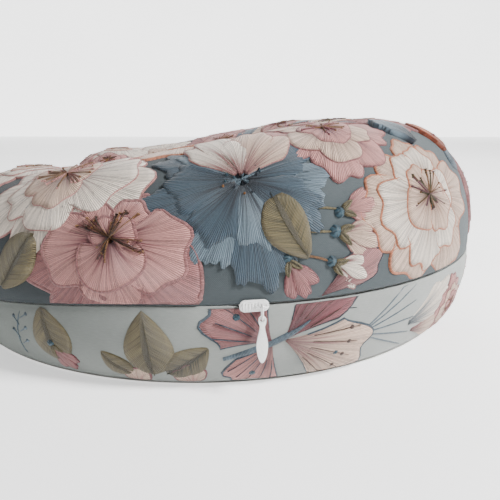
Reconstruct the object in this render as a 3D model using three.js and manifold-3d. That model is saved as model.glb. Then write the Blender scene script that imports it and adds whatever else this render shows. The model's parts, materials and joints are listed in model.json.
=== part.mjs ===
import * as THREE from 'three';
import { mergeVertices } from 'three/addons/utils/BufferGeometryUtils.js';
import Module from 'manifold-3d';

// C-shaped nursing pillow: zipped cover, inner casing and fibre filling.
// Millimetres, +Z up. The closed end (bridge) points to +X and the opening faces -X.

// Overall shape
const outerRadius = 245;
const tipAngleDeg = 138;
const bridgeHalfWidth = 84;
const tipHalfWidth = 66;
const bridgeHeight = 162;
const tipHeight = 126;
const heightTaperStartDeg = 45;
const domeRoundness = 2.3;

// Side band
const seamHeight = 59;
const tipSeamHeight = 44;
const seamDropStartDeg = 90;
const bandBulge = 1.5;
const baseTuck = 14;

// Layers, counted inwards from the outer surface
const fitGap = 0.3;
const fillGap = 0.5;
const facetGap = 0.45;
const coverThickness = 1.6;
const zipTapeThickness = 0.8;
const casingThickness = 0.8;
const bottomPanelThickness = 2.0;
const tapeDepth = coverThickness + fitGap;
const casingDepth = tapeDepth + zipTapeThickness + facetGap + fitGap;
const fillDepth = casingDepth + casingThickness + fillGap;

// Zip in the seam between the top panel and the outer band
const zipHalfTravelDeg = 79;
const zipRunOutDeg = 3;
const slotHalfGap = 0.8;
const coilHeight = 1.4;
const coilThickness = 1.0;
const coilDepth = 0.3;
const coilToothHeight = 0.35;
const coilPitchDeg = 2;
const tapeInnerEdge = 4.6;
const tapeWidth = 6.4;
const stopWidth = 2.4;

// Slider
const sliderLength = 18;
const sliderWidth = 7.4;
const sliderPlateThickness = 1.6;
const sliderStandOff = 1.0;
const innerPlateLength = 10;
const innerPlateWidth = 6.4;
const innerPlateThickness = 0.6;
const neckLength = 8;
const neckWidth = 1.0;
const crownRadius = 0.7;
const crownRise = 3.0;
const crownStart = 0.6;
const crownSpan = 7.4;

// Pull: a wire link through the crown and a leaf-shaped tab on the link
const linkWireRadius = 0.6;
const linkBendRadius = 1.7;
const linkDrop = 6;
const linkSides = 8;
const tabThickness = 1.4;
const tabEyeRadius = 1.3;
const tabEyeRim = 1.1;
const tabNeckHalfWidth = 1.5;
const tabLeafHalfWidth = 3.5;
const tabLength = 28;

// Mesh density
const armStations = 46;
const tipStations = 8;
const domeSteps = 6;
const bandSteps = 4;

const rad = THREE.MathUtils.degToRad;
const tipAngle = rad(tipAngleDeg);
const zipEndAngle = rad(zipHalfTravelDeg + zipRunOutDeg);
const seamGapAtZip = slotHalfGap + coilHeight + fitGap;
const seamGapPlain = fitGap / 2;

const wasm = await Module();
wasm.setup();

function smooth(t) {
  const c = Math.min(Math.max(t, 0), 1);
  return c * c * (3 - 2 * c);
}

function taper(from, to, angle, startAngle) {
  const t = (Math.abs(angle) - startAngle) / (tipAngle - startAngle);
  return from + (to - from) * smooth(t);
}

// One ray runs from the pillow's centreline to its edge.
function makeRay(angle, heading, kind) {
  const halfWidth = taper(bridgeHalfWidth, tipHalfWidth, angle, 0);
  const centreRadius = outerRadius - halfWidth;
  return {
    angle,
    kind,
    halfWidth,
    height: taper(bridgeHeight, tipHeight, angle, rad(heightTaperStartDeg)),
    seam: taper(seamHeight, tipSeamHeight, angle, rad(seamDropStartDeg)),
    origin: new THREE.Vector2(centreRadius * Math.cos(angle), centreRadius * Math.sin(angle)),
    heading: new THREE.Vector2(Math.cos(heading), Math.sin(heading)),
    zipped: kind === 'outer' && Math.abs(angle) < zipEndAngle + 0.01,
  };
}

function armAngles() {
  const beyond = Math.round(armStations * (tipAngle - zipEndAngle) / (2 * tipAngle));
  const between = armStations - 2 * beyond;
  const angles = [];
  for (let i = 0; i < beyond; i += 1) {
    angles.push(-tipAngle + (tipAngle - zipEndAngle) * i / beyond);
  }
  for (let i = 0; i <= between; i += 1) {
    angles.push(-zipEndAngle + 2 * zipEndAngle * i / between);
  }
  for (let i = 1; i <= beyond; i += 1) {
    angles.push(zipEndAngle + (tipAngle - zipEndAngle) * i / beyond);
  }
  return angles;
}

const arm = armAngles();
const outerRays = arm.map((a) => makeRay(a, a, 'outer'));
const innerRays = arm.map((a) => makeRay(a, a + Math.PI, 'inner')).reverse();

function tipFan(angle, startHeading) {
  const fan = [];
  for (let i = 1; i < tipStations; i += 1) {
    fan.push(makeRay(angle, startHeading + Math.PI * i / tipStations, 'tip'));
  }
  return fan;
}

const farFan = tipFan(tipAngle, tipAngle);
const nearFan = tipFan(-tipAngle, -tipAngle + Math.PI);
const allRays = [...outerRays, ...farFan, ...innerRays, ...nearFan];
const halfTip = tipStations / 2;

// The two bands meet at the middle of each tip, with a joining gap between them.
function tipMiddle(angle, side) {
  const turn = Math.PI / 2 * Math.sign(angle) + side * fitGap / tipHalfWidth / 2;
  return makeRay(angle, angle + turn, 'tip');
}

const outerBandRays = [
  tipMiddle(-tipAngle, 1),
  ...nearFan.slice(halfTip),
  ...outerRays,
  ...farFan.slice(0, halfTip - 1),
  tipMiddle(tipAngle, -1),
];
const innerBandRays = [
  tipMiddle(tipAngle, 1),
  ...farFan.slice(halfTip),
  ...innerRays,
  ...nearFan.slice(0, halfTip - 1),
  tipMiddle(-tipAngle, -1),
];

// Profiles are lists of [distance from the centreline, height].
function domeProfile(ray, depth, seamGap) {
  const base = ray.seam + seamGap;
  const power = 2 / domeRoundness;
  const points = [];
  for (let i = 0; i <= domeSteps; i += 1) {
    const a = Math.PI / 2 * i / domeSteps;
    const across = i === domeSteps ? 0 : Math.cos(a) ** power;
    const up = Math.sin(a) ** power;
    points.push([(ray.halfWidth - depth) * across, base + (ray.height - depth - base) * up]);
  }
  return points;
}

function bandOffset(v) {
  return bandBulge * Math.sin(Math.PI * v) - baseTuck * (1 - v) ** 2.5;
}

function sideProfile(ray, depth, top, bottom) {
  const points = [];
  for (let i = 0; i <= bandSteps; i += 1) {
    const v = i / bandSteps;
    points.push([ray.halfWidth + bandOffset(v) - depth, bottom + (top - bottom) * v]);
  }
  return points;
}

function seamGapFor(ray) {
  return ray.zipped ? seamGapAtZip : seamGapPlain;
}

function toPoint(ray, [distance, z]) {
  const x = ray.origin.x + ray.heading.x * distance;
  const y = ray.origin.y + ray.heading.y * distance;
  return new THREE.Vector3(x, y, z);
}

// Joins one section per ray into a closed solid. An open profile starts and ends on the
// centreline, where opposite rays meet; a closed profile is capped at both ends of the run.
function solidFromSections(sections, closedRun) {
  const rows = sections.length;
  const columns = sections[0].length;
  const positions = sections.flat().flatMap((p) => [p.x, p.y, p.z]);
  const index = [];
  const at = (r, c) => (r % rows) * columns + (c % columns);
  const rowCount = closedRun ? rows : rows - 1;
  const columnCount = closedRun ? columns - 1 : columns;
  for (let r = 0; r < rowCount; r += 1) {
    for (let c = 0; c < columnCount; c += 1) {
      index.push(at(r, c), at(r + 1, c), at(r + 1, c + 1));
      index.push(at(r, c), at(r + 1, c + 1), at(r, c + 1));
    }
  }
  if (!closedRun) {
    const last = rows - 1;
    for (let c = 0; c < columns / 2 - 1; c += 1) {
      const mate = columns - 1 - c;
      index.push(at(0, c), at(0, c + 1), at(0, mate - 1));
      index.push(at(0, c), at(0, mate - 1), at(0, mate));
      index.push(at(last, c), at(last, mate - 1), at(last, c + 1));
      index.push(at(last, c), at(last, mate), at(last, mate - 1));
    }
  }
  const geometry = new THREE.BufferGeometry();
  geometry.setAttribute('position', new THREE.Float32BufferAttribute(positions, 3));
  geometry.setIndex(index);
  return weld(geometry);
}

function weld(source) {
  const bare = source.clone();
  bare.deleteAttribute('normal');
  bare.deleteAttribute('uv');
  const merged = mergeVertices(bare, 1e-3);
  const old = merged.getIndex().array;
  const kept = [];
  for (let i = 0; i < old.length; i += 3) {
    if (old[i] !== old[i + 1] && old[i + 1] !== old[i + 2] && old[i] !== old[i + 2]) {
      kept.push(old[i], old[i + 1], old[i + 2]);
    }
  }
  merged.setIndex(kept);
  return faceOut(merged);
}

function faceOut(geometry) {
  const position = geometry.getAttribute('position');
  const index = geometry.getIndex().array;
  const a = new THREE.Vector3();
  const b = new THREE.Vector3();
  const c = new THREE.Vector3();
  let volume = 0;
  for (let i = 0; i < index.length; i += 3) {
    a.fromBufferAttribute(position, index[i]);
    b.fromBufferAttribute(position, index[i + 1]);
    c.fromBufferAttribute(position, index[i + 2]);
    volume += a.dot(b.cross(c));
  }
  if (volume < 0) {
    for (let i = 0; i < index.length; i += 3) {
      [index[i], index[i + 1]] = [index[i + 1], index[i]];
    }
  }
  return geometry;
}

function toManifold(geometry) {
  const welded = weld(geometry);
  const vertProperties = new Float32Array(welded.getAttribute('position').array);
  const triVerts = new Uint32Array(welded.getIndex().array);
  return new wasm.Manifold(new wasm.Mesh({ numProp: 3, vertProperties, triVerts }));
}

function fromManifold(solid) {
  const mesh = solid.getMesh();
  const geometry = new THREE.BufferGeometry();
  geometry.setAttribute('position', new THREE.Float32BufferAttribute(mesh.vertProperties, 3));
  geometry.setIndex([...mesh.triVerts]);
  return geometry;
}

function union(geometries) {
  return geometries.map(toManifold).reduce((sum, next) => sum.add(next));
}

// Soft layers
function topShell(outerDepth, innerDepth, gapFor) {
  return solidFromSections(allRays.map((ray) => {
    const outer = domeProfile(ray, outerDepth, gapFor(ray)).reverse();
    const inner = domeProfile(ray, innerDepth, gapFor(ray));
    return [...outer, ...inner].map((p) => toPoint(ray, p));
  }), true);
}

function band(rays) {
  return solidFromSections(rays.map((ray) => {
    const top = ray.seam - seamGapFor(ray);
    const outer = sideProfile(ray, 0, top, 0);
    const inner = sideProfile(ray, coverThickness, top, 0).reverse();
    return [...outer, ...inner].map((p) => toPoint(ray, p));
  }), false);
}

function bottomPanel() {
  const edgeInset = baseTuck + coverThickness + fitGap;
  return solidFromSections(allRays.map((ray) => {
    const edge = ray.halfWidth - edgeInset;
    const profile = [[0, bottomPanelThickness], [edge, bottomPanelThickness], [edge, 0], [0, 0]];
    return profile.map((p) => toPoint(ray, p));
  }), true);
}

const casingFloor = bottomPanelThickness + fitGap;

function casingBottom() {
  return solidFromSections(allRays.map((ray) => {
    const top = ray.seam - seamGapPlain;
    const innerFloor = casingFloor + casingThickness;
    const innerDepth = casingDepth + casingThickness;
    const inner = sideProfile(ray, innerDepth, top, innerFloor);
    const outer = sideProfile(ray, casingDepth, top, casingFloor).reverse();
    return [[0, innerFloor], ...inner, ...outer, [0, casingFloor]].map((p) => toPoint(ray, p));
  }), true);
}

function filling() {
  const floor = casingFloor + casingThickness + fillGap;
  return solidFromSections(allRays.map((ray) => {
    const dome = domeProfile(ray, fillDepth, seamGapPlain).reverse();
    const side = sideProfile(ray, fillDepth, ray.seam - seamGapPlain, floor).reverse();
    return [...dome, ...side, [0, floor]].map((p) => toPoint(ray, p));
  }), true);
}

// Zip strips follow the outer edge at a given depth.
function insetAt(profile, z) {
  for (let i = 0; i + 1 < profile.length; i += 1) {
    const [d0, z0] = profile[i];
    const [d1, z1] = profile[i + 1];
    if ((z - z0) * (z - z1) <= 0 && z0 !== z1) {
      return d0 + (d1 - d0) * (z - z0) / (z1 - z0);
    }
  }
  return profile[0][0];
}

function tape(side) {
  const rays = outerRays.filter((ray) => ray.zipped);
  return solidFromSections(rays.map((ray) => {
    const heights = [tapeInnerEdge, tapeInnerEdge + tapeWidth].map((h) => ray.seam + side * h);
    const wall = side > 0
      ? domeProfile(ray, tapeDepth, seamGapAtZip)
      : sideProfile(ray, tapeDepth, ray.seam - seamGapAtZip, 0);
    const [near, far] = heights.map((z) => insetAt(wall, z));
    const profile = [
      [near, heights[0]],
      [far, heights[1]],
      [far - zipTapeThickness, heights[1]],
      [near - zipTapeThickness, heights[0]],
    ];
    return profile.map((p) => toPoint(ray, p));
  }), false);
}

function arcSolid(fromAngle, toAngle, steps, sectionAt) {
  const sections = [];
  for (let i = 0; i <= steps; i += 1) {
    const angle = fromAngle + (toAngle - fromAngle) * i / steps;
    sections.push(sectionAt(i).map(([radius, z]) => (
      new THREE.Vector3(radius * Math.cos(angle), radius * Math.sin(angle), z)
    )));
  }
  return solidFromSections(sections, false);
}

function coil(side) {
  const coilEnd = zipEndAngle - rad(zipRunOutDeg) / 2;
  const steps = 2 * Math.round(coilEnd / rad(coilPitchDeg)) * 2;
  const outer = outerRadius - coilDepth;
  const inner = outer - coilThickness;
  return arcSolid(-coilEnd, coilEnd, steps, (i) => {
    const tooth = Math.floor(i / 2) % 2 === 0 ? 0 : coilToothHeight;
    const near = seamHeight + side * (slotHalfGap + tooth);
    const far = seamHeight + side * (slotHalfGap + coilHeight);
    return [[outer, near], [outer, far], [inner, far], [inner, near]];
  });
}

function endStop(side, angle) {
  const halfAngle = stopWidth / 2 / outerRadius;
  const outer = outerRadius - coilDepth;
  const inner = outer - coilThickness;
  const low = side === 0 ? -slotHalfGap - coilHeight : slotHalfGap;
  const high = slotHalfGap + coilHeight;
  const sign = side === 0 ? 1 : side;
  const section = [
    [outer, seamHeight + sign * low],
    [outer, seamHeight + sign * high],
    [inner, seamHeight + sign * high],
    [inner, seamHeight + sign * low],
  ];
  return arcSolid(angle - halfAngle, angle + halfAngle, 1, () => section);
}

// Slider parts are built with X outwards, Y along the zip and Z up, then turned into place.
const plateBack = outerRadius + sliderStandOff;
const plateFront = plateBack + sliderPlateThickness;
const crownAxis = plateFront + crownRise;
const linkAlongZip = crownStart + crownSpan / 2;

function plate(length, width, thickness, backRadius, alongZip) {
  const shape = new THREE.Shape();
  const round = width / 2;
  const straight = length / 2 - round;
  shape.absarc(straight, 0, round, -Math.PI / 2, Math.PI / 2, false);
  shape.absarc(-straight, 0, round, Math.PI / 2, 3 * Math.PI / 2, false);
  const geometry = new THREE.ExtrudeGeometry(shape, {
    depth: thickness,
    bevelEnabled: false,
    curveSegments: 8,
  });
  geometry.rotateX(Math.PI / 2);
  geometry.rotateZ(Math.PI / 2);
  geometry.translate(backRadius, alongZip, 0);
  return geometry;
}

function cylinderBetween(from, to, radius) {
  const length = from.distanceTo(to);
  const geometry = new THREE.CylinderGeometry(radius, radius, length, 12);
  const up = new THREE.Vector3(0, 1, 0);
  const turn = new THREE.Quaternion().setFromUnitVectors(up, to.clone().sub(from).normalize());
  geometry.applyQuaternion(turn);
  geometry.translate((from.x + to.x) / 2, (from.y + to.y) / 2, (from.z + to.z) / 2);
  return geometry;
}

function ballAt(point, radius) {
  const geometry = new THREE.SphereGeometry(radius, 12, 8);
  geometry.translate(point.x, point.y, point.z);
  return geometry;
}

function sliderBody() {
  const innerBack = outerRadius - casingDepth + fitGap;
  const outerPlate = plate(sliderLength, sliderWidth, sliderPlateThickness, plateBack, 0);
  const innerPlate = plate(innerPlateLength, innerPlateWidth, innerPlateThickness, innerBack, 0);
  const neck = new THREE.BoxGeometry(plateBack - innerBack + 0.4, neckLength, neckWidth);
  neck.translate((plateBack + innerBack) / 2 + 0.1, 0, 0);
  const footA = new THREE.Vector3(plateFront - 0.4, crownStart, 0);
  const footB = new THREE.Vector3(plateFront - 0.4, crownStart + crownSpan, 0);
  const topA = new THREE.Vector3(crownAxis, crownStart, 0);
  const topB = new THREE.Vector3(crownAxis, crownStart + crownSpan, 0);
  const crown = [
    cylinderBetween(footA, topA, crownRadius),
    cylinderBetween(topA, topB, crownRadius),
    cylinderBetween(topB, footB, crownRadius),
    ballAt(topA, crownRadius),
    ballAt(topB, crownRadius),
  ];
  return fromManifold(union([outerPlate, innerPlate, neck, ...crown]));
}

class StadiumCurve extends THREE.Curve {
  getPoint(t, target = new THREE.Vector3()) {
    const half = Math.PI * linkBendRadius;
    const total = 2 * half + 2 * linkDrop;
    let s = (t % 1) * total;
    if (s < half) {
      const a = s / linkBendRadius;
      return target.set(linkBendRadius * Math.cos(a), 0, linkBendRadius * Math.sin(a));
    }
    s -= half;
    if (s < linkDrop) {
      return target.set(-linkBendRadius, 0, -s);
    }
    s -= linkDrop;
    if (s < half) {
      const a = Math.PI + s / linkBendRadius;
      const z = linkBendRadius * Math.sin(a) - linkDrop;
      return target.set(linkBendRadius * Math.cos(a), 0, z);
    }
    s -= half;
    return target.set(linkBendRadius, 0, s - linkDrop);
  }
}

function pullLink() {
  const geometry = new THREE.TubeGeometry(new StadiumCurve(), 32, linkWireRadius, linkSides, true);
  geometry.translate(crownAxis, linkAlongZip, 0);
  return weld(geometry);
}

function pullTab() {
  const rim = tabEyeRadius + tabEyeRim;
  const neckDrop = rim + 1.6;
  const widestDrop = tabLength * 0.6;
  const shape = new THREE.Shape();
  shape.moveTo(rim, 0);
  shape.absarc(0, 0, rim, 0, Math.PI, false);
  shape.quadraticCurveTo(-rim, -rim, -tabNeckHalfWidth, -neckDrop);
  shape.bezierCurveTo(
    -tabNeckHalfWidth, -neckDrop - 4, -tabLeafHalfWidth, -widestDrop + 5, -tabLeafHalfWidth, -widestDrop,
  );
  shape.bezierCurveTo(-tabLeafHalfWidth, -widestDrop - 6, -1.6, -tabLength, 0, -tabLength);
  shape.bezierCurveTo(1.6, -tabLength, tabLeafHalfWidth, -widestDrop - 6, tabLeafHalfWidth, -widestDrop);
  shape.bezierCurveTo(
    tabLeafHalfWidth, -widestDrop + 5, tabNeckHalfWidth, -neckDrop - 4, tabNeckHalfWidth, -neckDrop,
  );
  shape.quadraticCurveTo(rim, -rim, rim, 0);
  const eye = new THREE.Path();
  eye.absarc(0, 0, tabEyeRadius, 0, Math.PI * 2, true);
  shape.holes.push(eye);
  const geometry = new THREE.ExtrudeGeometry(shape, {
    depth: tabThickness,
    bevelEnabled: false,
    curveSegments: 10,
  });
  geometry.translate(0, 0, -tabThickness / 2);
  geometry.rotateX(Math.PI / 2);
  geometry.rotateZ(Math.PI / 2);
  geometry.translate(crownAxis, linkAlongZip, -linkDrop - linkBendRadius + 0.1);
  return weld(geometry);
}

function placeOnZip(geometry) {
  geometry.translate(0, 0, seamHeight);
  geometry.rotateZ(-rad(zipHalfTravelDeg));
  return geometry;
}

const group = new THREE.Group();
group.name = 'nursing_pillow';

function add(name, geometry, color, roughness) {
  const flat = geometry.index ? geometry.toNonIndexed() : geometry;
  flat.computeVertexNormals();
  const material = new THREE.MeshStandardMaterial({ color, roughness, metalness: 0 });
  material.name = name;
  const mesh = new THREE.Mesh(flat, material);
  mesh.name = name;
  group.add(mesh);
}

const plainSeam = () => seamGapPlain;
const stopAngle = zipEndAngle - rad(zipRunOutDeg) / 4;
const casingInner = casingDepth + casingThickness;
add('cover_top_panel', topShell(0, coverThickness, seamGapFor), 0x6f7675, 0.9);
add('cover_bottom_panel', bottomPanel(), 0xbdbbb6, 0.95);
add('cover_outer_band', band(outerBandRays), 0xb9bab6, 0.9);
add('cover_inner_band', band(innerBandRays), 0xb9bab6, 0.9);
add('casing_top', topShell(casingDepth, casingInner, plainSeam), 0xf0eee8, 0.95);
add('casing_bottom', casingBottom(), 0xf0eee8, 0.95);
add('fibre_fill', filling(), 0xfafafa, 1.0);
add('zip_tape_upper', tape(1), 0x9aa09e, 0.9);
add('zip_tape_lower', tape(-1), 0x9aa09e, 0.9);
add('zip_coil_upper', coil(1), 0xd8d8d4, 0.5);
add('zip_coil_lower', coil(-1), 0xd8d8d4, 0.5);
add('zip_stop_start_upper', endStop(1, -stopAngle), 0xd8d8d4, 0.4);
add('zip_stop_start_lower', endStop(-1, -stopAngle), 0xd8d8d4, 0.4);
add('zip_stop_end', endStop(0, stopAngle), 0xd8d8d4, 0.4);
add('slider_body', placeOnZip(sliderBody()), 0xf4f4f2, 0.35);
add('pull_link', placeOnZip(pullLink()), 0xececea, 0.35);
add('pull_tab', placeOnZip(pullTab()), 0xf6f6f4, 0.35);

// The origin is the middle of the bounding box, on the floor.
const box = new THREE.Box3().setFromObject(group);
const shift = new THREE.Vector3(-(box.min.x + box.max.x) / 2, -(box.min.y + box.max.y) / 2, -box.min.z);
group.children.forEach((mesh) => mesh.geometry.translate(shift.x, shift.y, shift.z));

export default group;
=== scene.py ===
import bpy
import json
import random
from math import atan2, copysign, cos, degrees, dist, exp, hypot, pi, radians, sin, sqrt
from mathutils import Euler, Matrix, Vector, noise
from mathutils.bvhtree import BVHTree


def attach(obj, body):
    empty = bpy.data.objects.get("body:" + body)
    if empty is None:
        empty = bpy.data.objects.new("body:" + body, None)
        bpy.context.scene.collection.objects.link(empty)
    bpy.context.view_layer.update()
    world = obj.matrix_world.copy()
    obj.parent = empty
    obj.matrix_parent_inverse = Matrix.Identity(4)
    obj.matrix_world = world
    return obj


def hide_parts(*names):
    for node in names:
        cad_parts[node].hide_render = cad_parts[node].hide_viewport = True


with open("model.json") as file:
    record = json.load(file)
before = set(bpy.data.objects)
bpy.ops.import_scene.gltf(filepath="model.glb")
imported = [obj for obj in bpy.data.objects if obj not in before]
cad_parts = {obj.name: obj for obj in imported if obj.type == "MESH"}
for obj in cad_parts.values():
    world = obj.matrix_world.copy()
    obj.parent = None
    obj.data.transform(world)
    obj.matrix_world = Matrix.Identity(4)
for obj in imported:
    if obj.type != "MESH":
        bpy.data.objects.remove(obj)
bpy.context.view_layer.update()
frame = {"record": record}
print("frame loaded")

# the pillow's own sizes, in metres and degrees, as the CAD has them
pillow = dict(outerRadius=0.245, tipAngle=138, bridgeHalfWidth=0.084, tipHalfWidth=0.066,
              bridgeHeight=0.162, tipHeight=0.126, heightTaperStart=45, roundness=2.3,
              seamHeight=0.059, tipSeamHeight=0.044, seamDropStart=90,
              bandBulge=0.0015, baseTuck=0.014, zipRest=79, zipEnd=82, waistRadius=0.09)
joints = {j["name"]: j for j in frame["record"]["behaviour"]["joints"]}
ringCentre = Vector((joints["zip_travel"]["pos_m"][0], joints["zip_travel"]["pos_m"][1], 0))

# camera
cameraSet = dict(place=(0.0316, -0.528, 0.168), turn=2.0, dip=14.6, lens=36.9, sensor=36)
bpy.ops.object.camera_add(location=cameraSet["place"])
camera = bpy.context.object
camera.name = "studioCamera"
camera.rotation_euler = Euler((radians(90 - cameraSet["dip"]), 0, radians(cameraSet["turn"])))
camera.data.lens = cameraSet["lens"]
camera.data.sensor_width = cameraSet["sensor"]
camera.data.clip_start = 0.01
bpy.context.scene.camera = camera


# the pillow's surface
def clamp(value, low, high):
    return min(max(value, low), high)


def smoothStep(t):
    t = clamp(t, 0, 1)
    return t * t * (3 - 2 * t)


def mix(a, b, t):
    return a + (b - a) * t


def taper(fromSize, toSize, angle, start):
    return mix(fromSize, toSize, smoothStep((abs(angle) - start) / (pillow["tipAngle"] - start)))


def crossSection(angle):
    halfWidth = taper(pillow["bridgeHalfWidth"], pillow["tipHalfWidth"], angle, 0)
    height = taper(pillow["bridgeHeight"], pillow["tipHeight"], angle, pillow["heightTaperStart"])
    seam = taper(pillow["seamHeight"], pillow["tipSeamHeight"], angle, pillow["seamDropStart"])
    return halfWidth, height, seam


def radialPoint(angle, radius, z):
    a = radians(angle)
    return ringCentre + Vector((radius * cos(a), radius * sin(a), z))


domeScale = dict(halfWidth=0.08, rise=0.1)


def buildDomeTable(steps=240):
    power = 2 / pillow["roundness"]
    rows = []
    length = 0
    last = None
    for i in range(steps + 1):
        a = pi * i / steps
        across = copysign(abs(cos(a)) ** power, cos(a))
        up = max(sin(a), 0) ** power
        here = (across * domeScale["halfWidth"], up * domeScale["rise"])
        if last:
            length += dist(here, last)
        last = here
        rows.append((length, across, up))
    return rows


domeTable = buildDomeTable()
domeLength = domeTable[-1][0]


def domeAt(share):
    wanted = clamp(share, 0, 1) * domeLength
    low, high = 0, len(domeTable) - 1
    while high - low > 1:
        middle = (low + high) // 2
        if domeTable[middle][0] < wanted:
            low = middle
        else:
            high = middle
    a, b = domeTable[low], domeTable[high]
    t = (wanted - a[0]) / max(b[0] - a[0], 1e-9)
    return mix(a[1], b[1], t), mix(a[2], b[2], t)


def topLength(angle):
    halfWidth, height, seam = crossSection(angle)
    return domeLength * (halfWidth / domeScale["halfWidth"] + (height - seam) / domeScale["rise"]) / 2


# radius and height of the top panel, this far up from the seam
def topShape(angle, along):
    halfWidth, height, seam = crossSection(angle)
    across, up = domeAt(along / topLength(angle))
    return pillow["outerRadius"] - halfWidth + halfWidth * across, seam + (height - seam) * up


def bandOffset(v):
    return pillow["bandBulge"] * sin(pi * v) - pillow["baseTuck"] * (1 - v) ** 2.5


def bandPoint(angle, z, inside=False):
    halfWidth, _, seam = crossSection(angle)
    reach = halfWidth + bandOffset(clamp(z / seam, 0, 1))
    radius = pillow["outerRadius"] - halfWidth + (-reach if inside else reach)
    return radialPoint(angle, radius, z)


# one ray from the centreline to the edge: where it starts, which way it goes, how far round it is
def makeRay(angle, heading, along, outside=False):
    halfWidth, height, seam = crossSection(angle)
    h = radians(heading)
    return dict(start=radialPoint(angle, pillow["outerRadius"] - halfWidth, 0),
                heading=Vector((cos(h), sin(h), 0)), halfWidth=halfWidth, height=height,
                seam=seam, along=along, zipped=outside and abs(angle) < pillow["zipEnd"])


def makeRays(step=1.5, fanSteps=22):
    tip = pillow["tipAngle"]
    count = round(2 * tip / step)
    angles = [-tip + 2 * tip * i / count for i in range(count + 1)]
    outerRun = radians(2 * tip) * pillow["outerRadius"]
    fanRun = pi * pillow["tipHalfWidth"]
    innerRun = radians(2 * tip) * pillow["waistRadius"]
    outer = [makeRay(a, a, radians(a + tip) * pillow["outerRadius"], True) for a in angles]
    firstFan = [makeRay(tip, tip + 180 * i / fanSteps, outerRun + fanRun * i / fanSteps)
                for i in range(1, fanSteps)]
    inner = [makeRay(a, a + 180, outerRun + fanRun + radians(tip - a) * pillow["waistRadius"])
             for a in reversed(angles)]
    lastFan = [makeRay(-tip, 180 - tip + 180 * i / fanSteps,
                       outerRun + fanRun + innerRun + fanRun * i / fanSteps)
               for i in range(1, fanSteps)]
    return outer, firstFan, inner, lastFan


outerRays, farFan, innerRays, nearFan = makeRays()
allRays = outerRays + farFan + innerRays + nearFan
half = len(nearFan) // 2
outerBandRays = nearFan[half:] + outerRays + farFan[:half + 1]
innerBandRays = farFan[half:] + innerRays + nearFan[:half + 1]


def rayPoint(ray, reach, z):
    return ray["start"] + ray["heading"] * reach + Vector((0, 0, z))


def meshObject(name, points, faces):
    mesh = bpy.data.meshes.new(name)
    mesh.from_pydata([tuple(p) for p in points], [], faces)
    mesh.update()
    piece = bpy.data.objects.new(name, mesh)
    bpy.context.collection.objects.link(piece)
    return piece


def activate(piece):
    bpy.ops.object.select_all(action="DESELECT")
    piece.select_set(True)
    bpy.context.view_layer.objects.active = piece


def applyModifiers(piece):
    activate(piece)
    for modifier in list(piece.modifiers):
        bpy.ops.object.modifier_apply(modifier=modifier.name)


def tidyMesh(piece, distance=0.0001):
    activate(piece)
    bpy.ops.object.mode_set(mode="EDIT")
    bpy.ops.mesh.select_all(action="SELECT")
    bpy.ops.mesh.remove_doubles(threshold=distance)
    bpy.ops.mesh.normals_make_consistent(inside=False)
    bpy.ops.object.mode_set(mode="OBJECT")
    bpy.ops.object.shade_smooth()


# stuffed form: the shape the cover takes over its filling
form = dict(inset=0.0022, voxel=0.005, pressure=4.0, frames=20, mostPuff=0.0036, seamHold=0.022,
            quality=5, mass=0.3, tension=25, compression=12, bending=0.4, floorGap=0.0003,
            weld=0.0003, seamRest=0.004, floorHold=0.02, underside=0.02)


def formPoints(rays, inset, domeSteps=26, sideSteps=12):
    rows = []
    power = 2 / pillow["roundness"]
    for ray in rays:
        row = []
        for i in range(domeSteps, -1, -1):
            a = pi / 2 * i / domeSteps
            across = 0 if i == domeSteps else cos(a) ** power
            up = sin(a) ** power
            z = ray["seam"] + (ray["height"] - inset - ray["seam"]) * up
            row.append(rayPoint(ray, (ray["halfWidth"] - inset) * across, z))
        for i in range(sideSteps - 1, -1, -1):
            v = i / sideSteps
            z = mix(inset, ray["seam"], v)
            row.append(rayPoint(ray, ray["halfWidth"] - inset + bandOffset(v), z))
        for share in (0.66, 0.33, 0):
            row.append(rayPoint(ray, (ray["halfWidth"] - pillow["baseTuck"]) * share, inset))
        rows.append(row)
    return rows


def gridFaces(rowCount, columnCount, closed):
    faces = []
    for r in range(rowCount if closed else rowCount - 1):
        for c in range(columnCount - 1):
            nextRow = (r + 1) % rowCount
            faces.append((r * columnCount + c, nextRow * columnCount + c,
                          nextRow * columnCount + c + 1, r * columnCount + c + 1))
    return faces


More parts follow.
